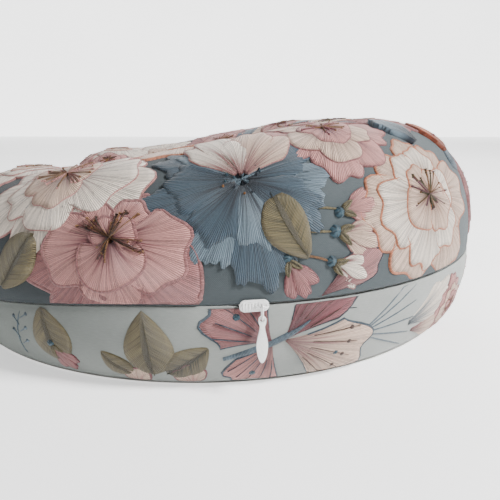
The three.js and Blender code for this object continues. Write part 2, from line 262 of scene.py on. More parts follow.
def stuffedForm():
    rows = formPoints(allRays, form["inset"])
    piece = meshObject("stuffedForm", [p for row in rows for p in row],
                       gridFaces(len(rows), len(rows[0]), True))
    tidyMesh(piece, form["weld"])
    activate(piece)
    piece.data.remesh_voxel_size = form["voxel"]
    bpy.ops.object.voxel_remesh()
    start = [v.co.copy() for v in piece.data.vertices]
    normals = [v.normal.copy() for v in piece.data.vertices]
    cloth = piece.modifiers.new("cover", "CLOTH")
    cloth.settings.use_pressure = True
    cloth.settings.effector_weights.gravity = 0
    for setting, key in (("uniform_pressure_force", "pressure"), ("quality", "quality"), ("mass", "mass"),
                         ("tension_stiffness", "tension"), ("compression_stiffness", "compression"),
                         ("bending_stiffness", "bending")):
        setattr(cloth.settings, setting, form[key])
    cloth.point_cache.frame_end = form["frames"]
    for step in range(1, form["frames"] + 1):
        bpy.context.scene.frame_set(step)
    activate(piece)
    bpy.ops.object.modifier_apply(modifier=cloth.name)
    bpy.context.scene.frame_set(1)
    for vertex, first, normal in zip(piece.data.vertices, start, normals):
        move = vertex.co - first
        if move.length > form["mostPuff"]:
            move = move.normalized() * form["mostPuff"]
        flat = first - ringCentre
        angle = degrees(atan2(flat.y, flat.x))
        seam = crossSection(min(abs(angle), pillow["tipAngle"]))[2]
        hold = smoothStep((abs(first.z - seam) - form["seamRest"]) / form["seamHold"])
        hold *= smoothStep(first.z / form["floorHold"])
        resting = first + normal * form["inset"]
        puffed = first + move
        puffed += normal * max(0, (resting - puffed).dot(normal))
        vertex.co = resting.lerp(puffed, hold)
        vertex.co.z = max(vertex.co.z, form["floorGap"])
    piece.data.update()
    subdivision = piece.modifiers.new("smooth", "SUBSURF")
    subdivision.levels = 1
    subdivision.render_levels = 1
    applyModifiers(piece)
    return piece


stuffing = stuffedForm()
formMesh = stuffing.data
formTree = BVHTree.FromPolygons([v.co.copy() for v in formMesh.vertices],
                                [tuple(p.vertices) for p in formMesh.polygons])
print("stuffed form ready", len(formMesh.vertices))


# the nearest place on the form; above the base, lift never points down into it
def onForm(point, lift=0.0):
    place, normal = formTree.find_nearest(point)[:2]
    if normal.z < -0.9 and point.z > form["underside"]:
        normal = -normal
    return place + normal * lift


# materials
class Nodes:
    def __init__(self, material):
        self.tree = material.node_tree

    def link(self, a, b):
        self.tree.links.new(a, b)

    def feed(self, socket, value):
        if isinstance(value, (int, float)):
            socket.default_value = value
        elif isinstance(value, tuple):
            socket.default_value = value if socket.type == "VECTOR" else (*value, 1)
        elif value is not None:
            self.link(value, socket)

    def add(self, kind, inputs=None, **values):
        node = self.tree.nodes.new(kind)
        for key, value in values.items():
            setattr(node, key, value)
        for socket, value in (inputs or {}).items():
            self.feed(node.inputs[socket], value)
        return node

    def split(self, vector):
        return self.add("ShaderNodeSeparateXYZ", {0: vector}).outputs

    def math(self, operation, a, b=None):
        return self.add("ShaderNodeMath", {0: a, 1: b}, operation=operation).outputs[0]

    def ramp(self, value, stops):
        node = self.add("ShaderNodeValToRGB", dict(Fac=value))
        while len(node.color_ramp.elements) < len(stops):
            node.color_ramp.elements.new(0.5)
        for element, (place, colour) in zip(node.color_ramp.elements, stops):
            element.position = place
            element.color = (*colour, 1)
        return node.outputs["Color"]

    def noise(self, vector, scale, detail=3.0, roughness=0.55):
        return self.add("ShaderNodeTexNoise", dict(Vector=vector, Scale=scale, Detail=detail,
                                                   Roughness=roughness)).outputs["Fac"]

    def mixColour(self, factor, a, b, blend="MIX"):
        return self.add("ShaderNodeMix", {0: factor, 6: a, 7: b}, data_type="RGBA",
                        blend_type=blend).outputs[2]

    def bump(self, height, strength, distance, before=None):
        return self.add("ShaderNodeBump", dict(Strength=strength, Distance=distance, Height=height,
                                               Normal=before)).outputs["Normal"]

    def attribute(self, name):
        return self.add("ShaderNodeAttribute", attribute_name=name).outputs["Color"]

    def chance(self, place):
        return self.add("ShaderNodeTexWhiteNoise", dict(W=place), noise_dimensions="1D").outputs["Value"]


# a new material, its shader's inputs, its nodes and its coordinates
def newMaterial(name, roughness=0.8, sheen=0.0, coat=0.0):
    material = bpy.data.materials.new(name)
    material.use_nodes = True
    surface = material.node_tree.nodes["Principled BSDF"].inputs
    for socket, value in (("Roughness", roughness), ("Sheen Weight", sheen), ("Coat Weight", coat)):
        surface[socket].default_value = value
    n = Nodes(material)
    return material, surface, n, n.add("ShaderNodeTexCoord").outputs


weave = dict(roughness=0.92, sheen=0.05, slubScale=(260, 1400, 1), cloudScale=14, ribTone=0.14,
             ribStrength=0.5, ribDepth=0.00022, softScale=45, softStrength=0.35, softDepth=0.0012)
satin = dict(roughness=0.58, sheen=0.08, anisotropy=0.4, streakScale=(1.3, 3.5, 1), petalRun=6.0,
             ragged=0.62, bump=0.0006)


def clothMaterial(name, dark, light, pitch=0.0011, printAndShadeGradient=None, solid=False):
    material, surface, n, coords = newMaterial(name, weave["roughness"], weave["sheen"])
    flat = coords["Object" if solid else "UV"]
    parts = n.split(flat)
    warpPlace, weftPlace = parts[0], parts[1]
    if solid:  # pieces without a cloth map weave along their own axes
        warpPlace = n.math("ADD", parts[0], parts[2])
        weftPlace = n.math("ADD", parts[1], parts[2])
    warp, weft = (n.math("SINE", n.math("MULTIPLY", place, 2 * pi / pitch))
                  for place in (warpPlace, weftPlace))
    over = n.math("MULTIPLY", warp, weft)
    ribs = n.math("ADD", n.math("MULTIPLY", n.math("ABSOLUTE", warp), 0.5), n.math("MULTIPLY", over, 0.5))
    stretch = n.add("ShaderNodeMapping", dict(Scale=weave["slubScale"], Vector=flat))
    slub = n.noise(stretch.outputs[0], 1.0, 2)
    cloud = n.noise(coords["Object"], weave["cloudScale"], 4)
    tone = n.math("ADD", n.math("MULTIPLY", cloud, 0.7), n.math("MULTIPLY", slub, 0.3))
    colour = n.ramp(tone, [(0.3, dark), (0.7, light)])
    # painted shade, partly print: the ground colour darkens towards negative x, the side turned away from
    # the light
    if printAndShadeGradient:
        across = n.add("ShaderNodeMapRange", {"Value": n.split(coords["Object"])[0],
                                              "From Min": printAndShadeGradient["from"], "From Max": printAndShadeGradient["to"]})
        printAndShadeDarkened = n.mixColour(1.0, colour, printAndShadeGradient["tint"], "MULTIPLY")
        colour = n.mixColour(across.outputs[0], printAndShadeDarkened, colour)
    # painted shade: the base colour darkens in the weave's hollows, where the ribs dip
    shade = n.math("ADD", n.math("MULTIPLY", ribs, weave["ribTone"]), 0.9)
    ribShade = n.ramp(shade, [(0.7, (0.72, 0.72, 0.72)), (1.0, (1, 1, 1))])
    n.link(n.mixColour(1.0, colour, ribShade, "MULTIPLY"), surface["Base Color"])
    height = n.math("ADD", ribs, n.math("MULTIPLY", slub, 0.6))
    soft = n.bump(n.noise(coords["Object"], weave["softScale"], 3), weave["softStrength"],
                  weave["softDepth"])
    n.link(n.bump(height, weave["ribStrength"], weave["ribDepth"], soft), surface["Normal"])
    return material


def threadMaterial(name):
    material, surface, n, coords = newMaterial(name, satin["roughness"], satin["sheen"])
    surface["Anisotropic"].default_value = satin["anisotropy"]
    parts = n.split(coords["UV"])
    crown = n.math("SINE", n.math("MULTIPLY", n.math("FRACT", parts[0]), pi))
    strand = n.math("FLOOR", parts[0])
    runs = n.add("ShaderNodeMapping", dict(Scale=satin["streakScale"], Vector=coords["UV"]))
    streak = n.noise(runs.outputs[0], 1.0, 3, 0.6)
    # strand tone: a random tone per strand and along streaks, plus painted shade in the gaps between strands
    # and a painted highlight on each strand's crown
    level = n.math("ADD", n.math("MULTIPLY", n.chance(strand), 0.34), n.math("MULTIPLY", streak, 0.5))
    level = n.math("ADD", level, n.math("MULTIPLY", crown, 0.3))
    shade = n.ramp(level, [(0.22, (0.16, 0.16, 0.18)), (0.5, (0.62, 0.62, 0.62)), (0.9, (1.05, 1.05, 1.05))])
    # long and short stitches: every thread changes from the inner to the outer colour at its own place
    ragged = n.math("MULTIPLY", n.chance(n.math("ADD", strand, 0.37)), satin["ragged"])
    reach = n.math("ADD", n.math("DIVIDE", parts[1], satin["petalRun"]), ragged)
    blend = n.ramp(reach, [(0.42, (0, 0, 0)), (0.86, (1, 1, 1))])
    base = n.mixColour(blend, n.attribute("shadeColour"), n.attribute("threadColour"))
    n.link(n.mixColour(1.0, base, shade, "MULTIPLY"), surface["Base Color"])
    height = n.math("ADD", crown, n.math("MULTIPLY", streak, 0.5))
    n.link(n.bump(height, 1.0, satin["bump"]), surface["Normal"])
    return material


def enamelMaterial(name, colour):
    material, surface, n, coords = newMaterial(name, 0.3, 0.0, 0.4)
    wear = n.noise(coords["Object"], 900, 4)
    n.link(n.ramp(wear, [(0.3, tuple(c * 0.86 for c in colour)), (0.65, colour)]), surface["Base Color"])
    n.link(n.math("ADD", n.math("MULTIPLY", wear, 0.25), 0.2), surface["Roughness"])
    n.link(n.bump(n.noise(coords["Object"], 2500, 2), 0.2, 0.00005), surface["Normal"])
    return material


# both printed grounds carry the painted shade gradient, darker towards negative x
topCloth = clothMaterial("slateCotton", (0.040, 0.052, 0.057), (0.074, 0.089, 0.094),
                         printAndShadeGradient={"from": -0.16, "to": 0.16, "tint": (0.34, 0.38, 0.41)})
bandCloth = clothMaterial("paleGreyCotton", (0.22, 0.232, 0.222), (0.34, 0.352, 0.335),
                          printAndShadeGradient={"from": -0.17, "to": 0.14, "tint": (0.42, 0.455, 0.44)})
baseCloth = clothMaterial("plainBaseCotton", (0.5, 0.49, 0.47), (0.62, 0.61, 0.58), pitch=0.0014)
casingCloth = clothMaterial("casingCotton", (0.8, 0.79, 0.75), (0.9, 0.89, 0.86), pitch=0.0009, solid=True)
thread = threadMaterial("satinThread")
enamel = enamelMaterial("whiteEnamel", (0.80, 0.80, 0.785))


# cover panels
cover = dict(proud=0.00035, thick=0.00035, lipAtZip=0.00075, lipPlain=0.0002, crease=0.0011,
             creaseReach=0.0032, puckerDepth=0.00035, puckerPitch=0.012, puckerReach=0.016,
             zipCrease=0.0002, zipCalm=0.008, wrapStep=0.002, weld=0.00005, bandFoot=0.0004,
             baseInset=0.0006, baseFloor=0.0001)


def panelPoint(ray, point, fromSeam):
    spread = exp(-(fromSeam / cover["creaseReach"]) ** 2)
    deep = cover["zipCrease"] if ray["zipped"] else cover["crease"]
    wander = noise.noise(Vector((ray["along"] * 40, 0.3, 0)))
    pucker = sin(ray["along"] * 2 * pi / cover["puckerPitch"] + wander * 5) * (0.6 + wander)
    fold = cover["puckerDepth"] * pucker * exp(-fromSeam / cover["puckerReach"])
    if ray["zipped"]:
        fold *= smoothStep(fromSeam / cover["zipCalm"])
    place, normal = formTree.find_nearest(point)[:2]
    return place + normal * (cover["proud"] - deep * spread + fold)


# rowAt gives one ray's points, each with its place on the cloth
def buildPanel(name, rays, rowAt, closed, material):
    rows = [rowAt(ray) for ray in rays]
    columns = len(rows[0])
    piece = meshObject(name, [point for row in rows for point, place in row],
                       gridFaces(len(rows), columns, closed))
    layer = piece.data.uv_layers.new(name="clothMap")
    wrap = rows[-1][0][1][0] + cover["wrapStep"]
    for polygon in piece.data.polygons:
        late = any(i // columns == len(rows) - 1 for i in polygon.vertices)
        for loop, index in zip(polygon.loop_indices, polygon.vertices):
            u, v = rows[index // columns][index % columns][1]
            if closed and late and index // columns == 0:
                u = wrap
            layer.data[loop].uv = (u, v)
    piece.data.materials.append(material)
    tidyMesh(piece, cover["weld"])
    wall = piece.modifiers.new("wall", "SOLIDIFY")
    wall.thickness = cover["thick"]
    wall.offset = -1
    applyModifiers(piece)
    return piece


def lipGap(ray):
    return cover["lipAtZip"] if ray["zipped"] else cover["lipPlain"]


def topRow(ray, steps=42):
    power = 2 / pillow["roundness"]
    base = ray["seam"] + lipGap(ray)
    row = []
    length = 0
    last = None
    for i in range(steps + 1):
        a = pi / 2 * (i / steps) ** 1.5
        across = 0 if i == steps else cos(a) ** power
        z = base + (ray["height"] - base) * sin(a) ** power
        flat = rayPoint(ray, ray["halfWidth"] * across, z)
        if last is not None:
            length += (flat - last).length
        last = flat
        row.append((panelPoint(ray, flat, length), (ray["along"], length)))
    return row


def bandRow(ray, steps=22):
    row = []
    top = ray["seam"] - lipGap(ray)
    for i in range(steps + 1):
        v = 1 - (i / steps) ** 1.25
        z = mix(cover["bandFoot"], top, v)
        flat = rayPoint(ray, ray["halfWidth"] + bandOffset(v), z)
        row.append((panelPoint(ray, flat, top - z), (ray["along"], z)))
    return row


def baseRow(ray, steps=8):
    row = []
    edge = ray["halfWidth"] - pillow["baseTuck"] - cover["baseInset"]
    for i in range(steps + 1):
        flat = rayPoint(ray, edge * (1 - i / steps), cover["baseFloor"] if i else cover["bandFoot"])
        row.append((flat, (flat.x, flat.y)))
    return row


top = buildPanel("topPanel", allRays, topRow, True, topCloth)
outerBand = buildPanel("outerBand", outerBandRays, bandRow, False, bandCloth)
innerBand = buildPanel("innerBand", innerBandRays, bandRow, False, bandCloth)
base = buildPanel("basePanel", allRays, baseRow, True, baseCloth)
for piece, node, slot in ((top, "cover_top_panel", "printed_top_fabric"),
                          (outerBand, "cover_outer_band", "printed_band_fabric"),
                          (innerBand, "cover_inner_band", "printed_band_fabric"),
                          (base, "cover_bottom_panel", "plain_base_fabric")):
    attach(piece, "pillow")
    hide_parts(node)
bpy.data.objects.remove(stuffing)
print("cover panels ready")


# embroidery: raised thread motifs laid on the panels
cream = (0.60, 0.42, 0.32)
ivory = (0.76, 0.66, 0.56)
blush = (0.49, 0.218, 0.195)
rose = (0.225, 0.06, 0.072)
deepRose = (0.15, 0.022, 0.034)
dustyPink = (0.31, 0.118, 0.115)
peach = (0.56, 0.19, 0.09)
rust = (0.32, 0.055, 0.014)
mauve = (0.16, 0.055, 0.08)
olive = (0.065, 0.052, 0.018)
paleOlive = (0.185, 0.145, 0.062)
moss = (0.03, 0.027, 0.011)
teal = (0.008, 0.04, 0.06)
navy = (0.005, 0.012, 0.024)
slateBlue = (0.034, 0.062, 0.089)
mistBlue = (0.115, 0.166, 0.206)
gold = (0.19, 0.08, 0.02)
brown = (0.055, 0.021, 0.01)
stitch = dict(thread=0.00105, rimThread=0.0009, layerStep=0.0005, fill=0.0007, dome=0.0007,
              clearRun=0.005, lowLift=0.12, bandLift=0.55, rimRise=0.0001,
              petalSkirt=0.0006, cordSkirt=0.0005, knotSkirt=0.0004, cordPoints=5,
              wideStep=0.0032, featherStep=0.0018, alongStep=0.005, topMargin=0.0014, topOverrun=4,
              clearFade=0.006, edgeFade=0.004, bandFoot=0.0035, bandHead=0.0016, bandOverrun=2,
              tabReach=2.6, tabPress=0.8, ringLayers=2.2, petalLayers=0.25, leafPuff=0.001,
              midribWidth=0.0011, midribRise=0.0003, shadeWidth=0.0007, shadeRise=0.0006,
              stamenWidth=0.0008, stamenRise=0.0004, stamenKnot=0.0021, stamenKnotRise=0.0012,
              veinWidth=0.0009, veinRise=0.0016, veinEnd=0.0004, heartKnot=0.0022, heartKnotRise=0.0045,
              stemRise=0.0008, berryKnot=0.0032, berryRise=0.0014)
wing = dict(rimWidth=0.0022, roundness=0.34, start=0.02, veinRise=0.0027, veinEnd=0.0005, spot=0.0045,
            spotRise=0.0032, eye=0.006, eyeRise=0.003, bodyWidth=0.0052, bodyEnd=0.0034, bodyRise=0.0032,
            feelerWidth=0.0011, feelerRise=0.001)


def layerLift(layer):
    return stitch["fill"] + layer * stitch["layerStep"]


def outFrom(base, reach, turn):
    return base[0] + reach * cos(turn), base[1] + reach * sin(turn)


# one object's worth of stitched surfaces; place maps a motif's own x and y onto a panel
class Stitches:
    def __init__(self, name):
        self.name = name
        self.points, self.faces, self.uvs, self.tints, self.shades = [], [], [], [], []
        self.place = None

    def point(self, x, y, lift):
        flat, fade = self.place(x, y)
        return onForm(flat, cover["proud"] + lift * fade)

    def surface(self, rows, columns, stitchAt, shade=None):
        first = len(self.points)
        width = len(columns)
        for r in rows:
            for c in columns:
                x, y, lift, threadPlace, tint = stitchAt(r, c)
                self.points.append(self.point(x, y, lift))
                self.uvs.append(threadPlace)
                self.tints.append(tint)
                self.shades.append(shade or tint)
        for r in range(len(rows) - 1):
            for c in range(width - 1):
                a = first + r * width + c
                self.faces.append((a, a + 1, a + width + 1, a + width))

    def build(self):
        piece = meshObject(self.name, self.points, self.faces)
        layer = piece.data.uv_layers.new(name="threadMap")
        tint = piece.data.color_attributes.new("threadColour", "FLOAT_COLOR", "POINT")
        for loop in piece.data.loops:
            layer.data[loop.index].uv = self.uvs[loop.vertex_index]
        deep = piece.data.color_attributes.new("shadeColour", "FLOAT_COLOR", "POINT")
        for i, (colour, shade) in enumerate(zip(self.tints, self.shades)):
            tint.data[i].color = (*colour, 1)
            deep.data[i].color = (*shade, 1)
        piece.data.materials.append(thread)
        activate(piece)
        bpy.ops.object.shade_smooth()
        return piece


def blendColour(a, b, t):
    return tuple(mix(x, y, t) for x, y in zip(a, b))


# a petal is a fan of threads from its base, with a rounded, slightly ruffled outer edge
def addPetal(work, angle, length, spread, inner, outer, rim=None, rimWidth=0.0016, ruffle=0.05,
             roundness=0.42, start=0.1, layer=0.0, seed=0, feather=0.0, base=(0, 0)):
    rng = random.Random(seed)
    phase = rng.uniform(0, 6.28)
    lobes = rng.choice((2, 3, 3.5))
    heading = radians(angle)
    wide = length * radians(spread)
    count = max(6, int(wide * 0.8 / stitch["thread"]))
    across = clamp(int(wide / stitch["featherStep" if feather else "wideStep"]), 10, 28)
    along = clamp(int(length / stitch["alongStep"]), 6, 12)
    lift = layerLift(layer)
    ends = [rng.uniform(-feather, feather) for i in range(across + 1)]

    def flat(s, t):
        k = (s + 1) / 2 * across
        low = min(int(k), across - 1)
        edge = 1 - roundness * abs(s) ** 2.6 + ruffle * sin(s * lobes * pi + phase)
        edge += mix(ends[low], ends[low + 1], k - low)
        reach = length * mix(start, edge, t)
        turn = heading + radians(spread) / 2 * s * (0.75 + 0.25 * t)
        return outFrom(base, reach, turn)

    def stitchAt(j, i):
        t = clamp(j / along, 0, 1)
        s = clamp(2 * i / across - 1, -1, 1)
        x, y = flat(s, t)
        border = j < 0 or j > along or i < 0 or i > across
        dome = sqrt(max(1 - s * s, 0)) * sin(pi * min(t * 0.9 + 0.08, 1))
        high = -stitch["petalSkirt"] if border else lift + stitch["dome"] * dome
        return x, y, high, (s * count / 2 + 200 + seed % 37, t * satin["petalRun"]), outer

    work.surface(range(-1, along + 2), range(-1, across + 2), stitchAt, inner)
    if rim:
        path = [flat(-1, t) for t in (0.35, 0.6, 0.85)]
        path += [flat(2 * i / 22 - 1, 1) for i in range(23)]
        path += [flat(1, t) for t in (0.85, 0.6, 0.35)]
        addCord(work, path, rimWidth, rim, lift + stitch["rimRise"])


# a raised satin line along a path; its threads run across it
def addCord(work, path, width, colour, height=0.0012, endWidth=None, endColour=None):
    sections = []
    run = 0
    for i, (x, y) in enumerate(path):
        before = path[max(i - 1, 0)]
        after = path[min(i + 1, len(path) - 1)]
        dx, dy = after[0] - before[0], after[1] - before[1]
        size = hypot(dx, dy) or 1
        if i:
            run += dist(path[i], path[i - 1])
        t = i / max(len(path) - 1, 1)
        wide = mix(width, endWidth if endWidth is not None else width, t)
        ends = min(1, 2.5 * min(t, 1 - t) + 0.35)
        sections.append((x, y, -dy / size, dx / size, run, t, wide, ends))

    def stitchAt(i, k):
        x, y, nx, ny, along, t, wide, ends = sections[i]
        turn = pi * k / (stitch["cordPoints"] - 1)
        reach = cos(turn) * wide / 2 * ends
        high = mix(-stitch["cordSkirt"], height + wide * 0.12, sin(turn) ** 0.6)
        threadPlace = (along / stitch["rimThread"] + 11, k * 0.6)
        return x + nx * reach, y + ny * reach, high, threadPlace, blendColour(colour, endColour or colour, t)

    work.surface(range(len(path)), range(stitch["cordPoints"]), stitchAt)


def curvePath(points, count=14):
    path = []
    for i in range(count + 1):
        t = i / count
        a, b, c = points
        x = (1 - t) ** 2 * a[0] + 2 * t * (1 - t) * b[0] + t * t * c[0]
        y = (1 - t) ** 2 * a[1] + 2 * t * (1 - t) * b[1] + t * t * c[1]
        path.append((x, y))
    return path


def addKnot(work, x, y, size, colour, height=0.0016):
    def stitchAt(ring, k):
        t = ring / 2
        turn = k * pi / 3.5
        reach = size / 2 * cos(pi / 2 * t)
        high = mix(-stitch["knotSkirt"], height, sin(pi / 2 * t))
        return *outFrom((x, y), reach, turn), high, (k * 0.8 + 3, t * 2), colour

    work.surface(range(3), range(8), stitchAt)


def addLeaf(work, angle, length, width, dark, light, seed=0, layer=0.0):
    heading = radians(angle)
    rng = random.Random(seed)
    bend = rng.uniform(-0.12, 0.12)
    lift = layerLift(layer)

    def flat(s, t):
        x = length * t
        swell = sin(pi * min(t, 1) ** 0.8) ** 0.85 if 0 < t < 1 else 0
        y = s * width / 2 * swell + bend * length * sin(pi * t)
        return (x * cos(heading) - y * sin(heading),
                x * sin(heading) + y * cos(heading))

    def stitchAt(j, i):
        t = j / 12
        s = clamp(i / 4 - 1, -1, 1)
        x, y = flat(s, t)
        border = i < 0 or i > 8 or j in (0, 12)
        groove = smoothStep(abs(s) * 3)
        high = -stitch["cordSkirt"] if border else lift + stitch["leafPuff"] * groove * (1 - abs(s) ** 3)
        slant = (t * length + abs(s) * width * 0.35) / stitch["thread"] + (50 if s > 0 else 10)
        return x, y, high, (slant, 1 + abs(s) * 4.5), blendColour(dark, light, 0.35 + 0.65 * t)

    work.surface(range(13), range(-1, 10), stitchAt, dark)
    addCord(work, [flat(0, t / 10) for t in range(0, 10)], stitch["midribWidth"], dark,
            lift + stitch["midribRise"])


# a layered flower: three rings of petals, then stamens with knots
def addPeony(work, size, palette, seed, petals=(7, 6, 4), turn=0.0, tilt=0.75, stamens=26):
    rng = random.Random(seed)
    layer = 0
    for ring, count in enumerate(petals):
        reach = size / 2 * (1, 0.74, 0.46)[ring]
        for k in range(count):
            angle = turn + 360 * (k + 0.5 * ring) / count + rng.uniform(-9, 9)
            squash = 1 if sin(radians(angle)) < 0 else tilt
            length = reach * rng.uniform(0.9, 1.1) * squash
            stacked = layer + stitch["petalLayers"] * k
            addPetal(work, angle, length, 360 / count * rng.uniform(1.25, 1.5), palette["inner"],
                     palette["outer"][ring % len(palette["outer"])], palette["rim"], palette["rimWidth"],
                     ruffle=rng.uniform(0.03, 0.07), layer=stacked, seed=seed * 31 + ring * 7 + k)
            for side in rng.sample((-0.3, -0.15, 0.05, 0.2, 0.34), 3) if "shadeThread" in palette else ():
                a = radians(angle) + side
                far, near = outFrom((0, 0), length * 0.74, a), outFrom((0, 0), length * 0.3, a)
                middle = ((near[0] + far[0]) / 2, (near[1] + far[1]) / 2)
                addCord(work, [near, middle, far], stitch["shadeWidth"], palette["shadeThread"],
                        layerLift(stacked) + stitch["shadeRise"])
        layer += stitch["ringLayers"]
    for k in range(stamens):
        angle = rng.uniform(0, 2 * pi)
        reach = size * rng.uniform(0.07, 0.19)
        end = (reach * cos(angle), reach * sin(angle) * 0.8)
        middle = (end[0] * 0.6 + rng.uniform(-0.002, 0.002), end[1] * 0.6)
        addCord(work, curvePath([(0, 0), middle, end], 5), stitch["stamenWidth"],
                rng.choice(palette["stamen"]), layerLift(layer) + stitch["stamenRise"])
        addKnot(work, *end, stitch["stamenKnot"], rng.choice(palette["stamen"]),
                layerLift(layer) + stitch["stamenKnotRise"])


oliveLeaf = (olive, paleOlive)
blueLeaf = (slateBlue, mistBlue)
# inner colours: the threads' own darker colour at each petal's base, deepened as painted shade where the
# petals meet
palettes = dict(
    white=dict(inner=(0.27, 0.15, 0.14), outer=(ivory, ivory, cream),
               rim=blush, rimWidth=0.0013, shadeThread=mistBlue, stamen=(gold, blush)),
    pink=dict(inner=deepRose, outer=(dustyPink, blush, blush),
              rim=dustyPink, rimWidth=0.0032, stamen=(gold, brown)),
    creamPeach=dict(inner=(0.34, 0.16, 0.10), outer=(cream, ivory, cream),
                    rim=peach, rimWidth=0.0022, stamen=(olive, mauve, gold)),
    mistyRose=dict(inner=mauve, outer=(blush, cream), rim=dustyPink,
                   rimWidth=0.0016, stamen=(rose, gold)))


heartPetals = ((128, 0.42, 50), (52, 0.44, 52), (108, 0.5, 46), (74, 0.5, 44), (92, 0.34, 50))


def addBlueBlossom(work, size, seed, turn=0):
    rng = random.Random(seed)
    for ring, (count, reach) in enumerate(((9, 0.56), (7, 0.4))):
        for k in range(count):
            angle = turn + 360 * (k + 0.5 * ring) / count + rng.uniform(-8, 8)
            length = size * reach * rng.uniform(0.88, 1.15)
            dark = (k + ring) % 3 != 0
            addPetal(work, angle, length, 360 / count * rng.uniform(1.2, 1.6), navy,
                     slateBlue if dark else mistBlue, None, ruffle=0.06, roundness=0.5,
                     layer=ring * 1.8 + stitch["petalLayers"] * k, seed=seed * 13 + ring * 10 + k,
                     feather=0.045)
            a = radians(angle)
            for side in (-0.16, 0.0, 0.14):
                far = outFrom((0, 0), length * 0.78, a + side)
                middle = (far[0] * 0.5, far[1] * 0.5 + 0.0015)
                addCord(work, curvePath([(0, 0), middle, far], 8), stitch["veinWidth"],
                        mistBlue if dark else navy, stitch["veinRise"] + ring * 0.0009, stitch["veinEnd"])
    for k, (angle, reach, spread) in enumerate(heartPetals):
        addPetal(work, turn + angle, size * reach, spread, dustyPink, cream if k % 2 else ivory,
                 blush, 0.0013, ruffle=0.05, layer=4.5 + k * 0.5, seed=seed + 20 + k)
    for k in range(12):
        a = rng.uniform(0, 2 * pi)
        place = outFrom((0, 0), size * rng.uniform(0.04, 0.12), a)
        addKnot(work, *place, stitch["heartKnot"], rng.choice((gold, navy, teal)), stitch["heartKnotRise"])


def addBud(work, size, angle, colour, rim, seed=0):
    for k, off in enumerate((-22, 22, 0)):
        addPetal(work, angle + off, size * (0.9 if off else 1.0), 34, rose if k < 2 else colour,
                 colour, rim, 0.0012, ruffle=0.03, roundness=0.5, layer=k * 0.6, seed=seed + k)
    a = radians(angle)
    for off in (-30, 30):
        addLeaf(work, angle + off, size * 0.42, size * 0.16, *oliveLeaf, seed=seed + 5, layer=2)
    addKnot(work, -cos(a) * size * 0.06, -sin(a) * size * 0.06, size * 0.3, teal, 0.003)


def addStem(work, points, colour, width=0.0016):
    addCord(work, curvePath(points, 12), width, colour, stitch["stemRise"])


def addSprig(work, length, angle, colour, seed=0):
    rng = random.Random(seed)
    a = radians(angle)
    ux, uy = cos(a), sin(a)
    end = (ux * length, uy * length)
    addStem(work, [(0, 0), (ux * length * 0.5 - uy * 0.004, uy * length * 0.5 + ux * 0.004), end], colour,
            0.001)
    for k in range(5):
        t = 0.25 + 0.15 * k
        x, y = ux * length * t, uy * length * t
        b = radians(angle + (48 if k % 2 else -48))
        tipPlace = outFrom((x, y), length * 0.22, b)
        addStem(work, [(x, y), outFrom((x, y), length * 0.1, b), tipPlace], colour, 0.0008)
        addKnot(work, *tipPlace, stitch["berryKnot"], rng.choice((colour, slateBlue)), stitch["berryRise"])


def addButterfly(work, size, angle=0):
    a = radians(angle)

    def turned(x, y):
        return x * cos(a) - y * sin(a), x * sin(a) + y * cos(a)

    wings = ((128, 0.62, 88, rose, dustyPink, slateBlue),
             (232, 0.55, 78, dustyPink, blush, slateBlue),
             (34, 0.78, 60, deepRose, rose, navy), (-34, 0.86, 70, dustyPink, cream, slateBlue))
    for k, (heading, reach, spread, inner, outer, rim) in enumerate(wings):
        base = turned(size * (0.06 if k > 1 else -0.04), size * 0.01)
        addPetal(work, angle + heading, size * reach, spread, inner, outer,
                 rim, wing["rimWidth"], ruffle=0.07, roundness=wing["roundness"], start=wing["start"],
                 layer=k * 0.5, seed=60 + k, base=base)
        for vein in range(5):
            b = radians(angle + heading + spread * (vein / 4 - 0.5) * 0.72)
            far, near = outFrom(base, size * reach * 0.82, b), outFrom(base, size * reach * 0.3, b)
            mid = ((far[0] + near[0]) / 2 + 0.001, (far[1] + near[1]) / 2)
            addCord(work, curvePath([near, mid, far], 8), stitch["veinWidth"], slateBlue if k < 2 else brown,
                    wing["veinRise"], wing["veinEnd"])
            if k == 3:
                addKnot(work, mix(far[0], near[0], 0.2), mix(far[1], near[1], 0.2), wing["spot"], brown,
                        wing["spotRise"])
        addKnot(work, *outFrom(base, size * reach * 0.62, radians(angle + heading)), wing["eye"], teal,
                wing["eyeRise"])
    tail, head = turned(-size * 0.46, -size * 0.03), turned(size * 0.3, size * 0.12)
    addCord(work, curvePath([tail, turned(0, -size * 0.02), head], 18), wing["bodyWidth"], mistBlue,
            wing["bodyRise"], wing["bodyEnd"], slateBlue)
    for bend in (-0.05, 0.1):
        addCord(work, curvePath([head, turned(size * 0.5, size * (0.2 + bend)),
                                 turned(size * 0.74, size * (0.22 + bend * 3))], 12),
                wing["feelerWidth"], navy, wing["feelerRise"])


def onTop(angle, along):
    def place(x, y):
        length = topLength(angle)
        c = clamp(along + y, stitch["topMargin"], length - stitch["topMargin"])
        limit = pillow["tipAngle"] + stitch["topOverrun"]
        turn = clamp(angle + degrees(x / topShape(angle, c)[0]), -limit, limit)
        clear = smoothStep((c - stitch["clearRun"]) / stitch["clearFade"])
        clear *= smoothStep((length - c) / stitch["edgeFade"])
        return radialPoint(turn, *topShape(turn, c)), mix(stitch["lowLift"], 1, clear)
    return place


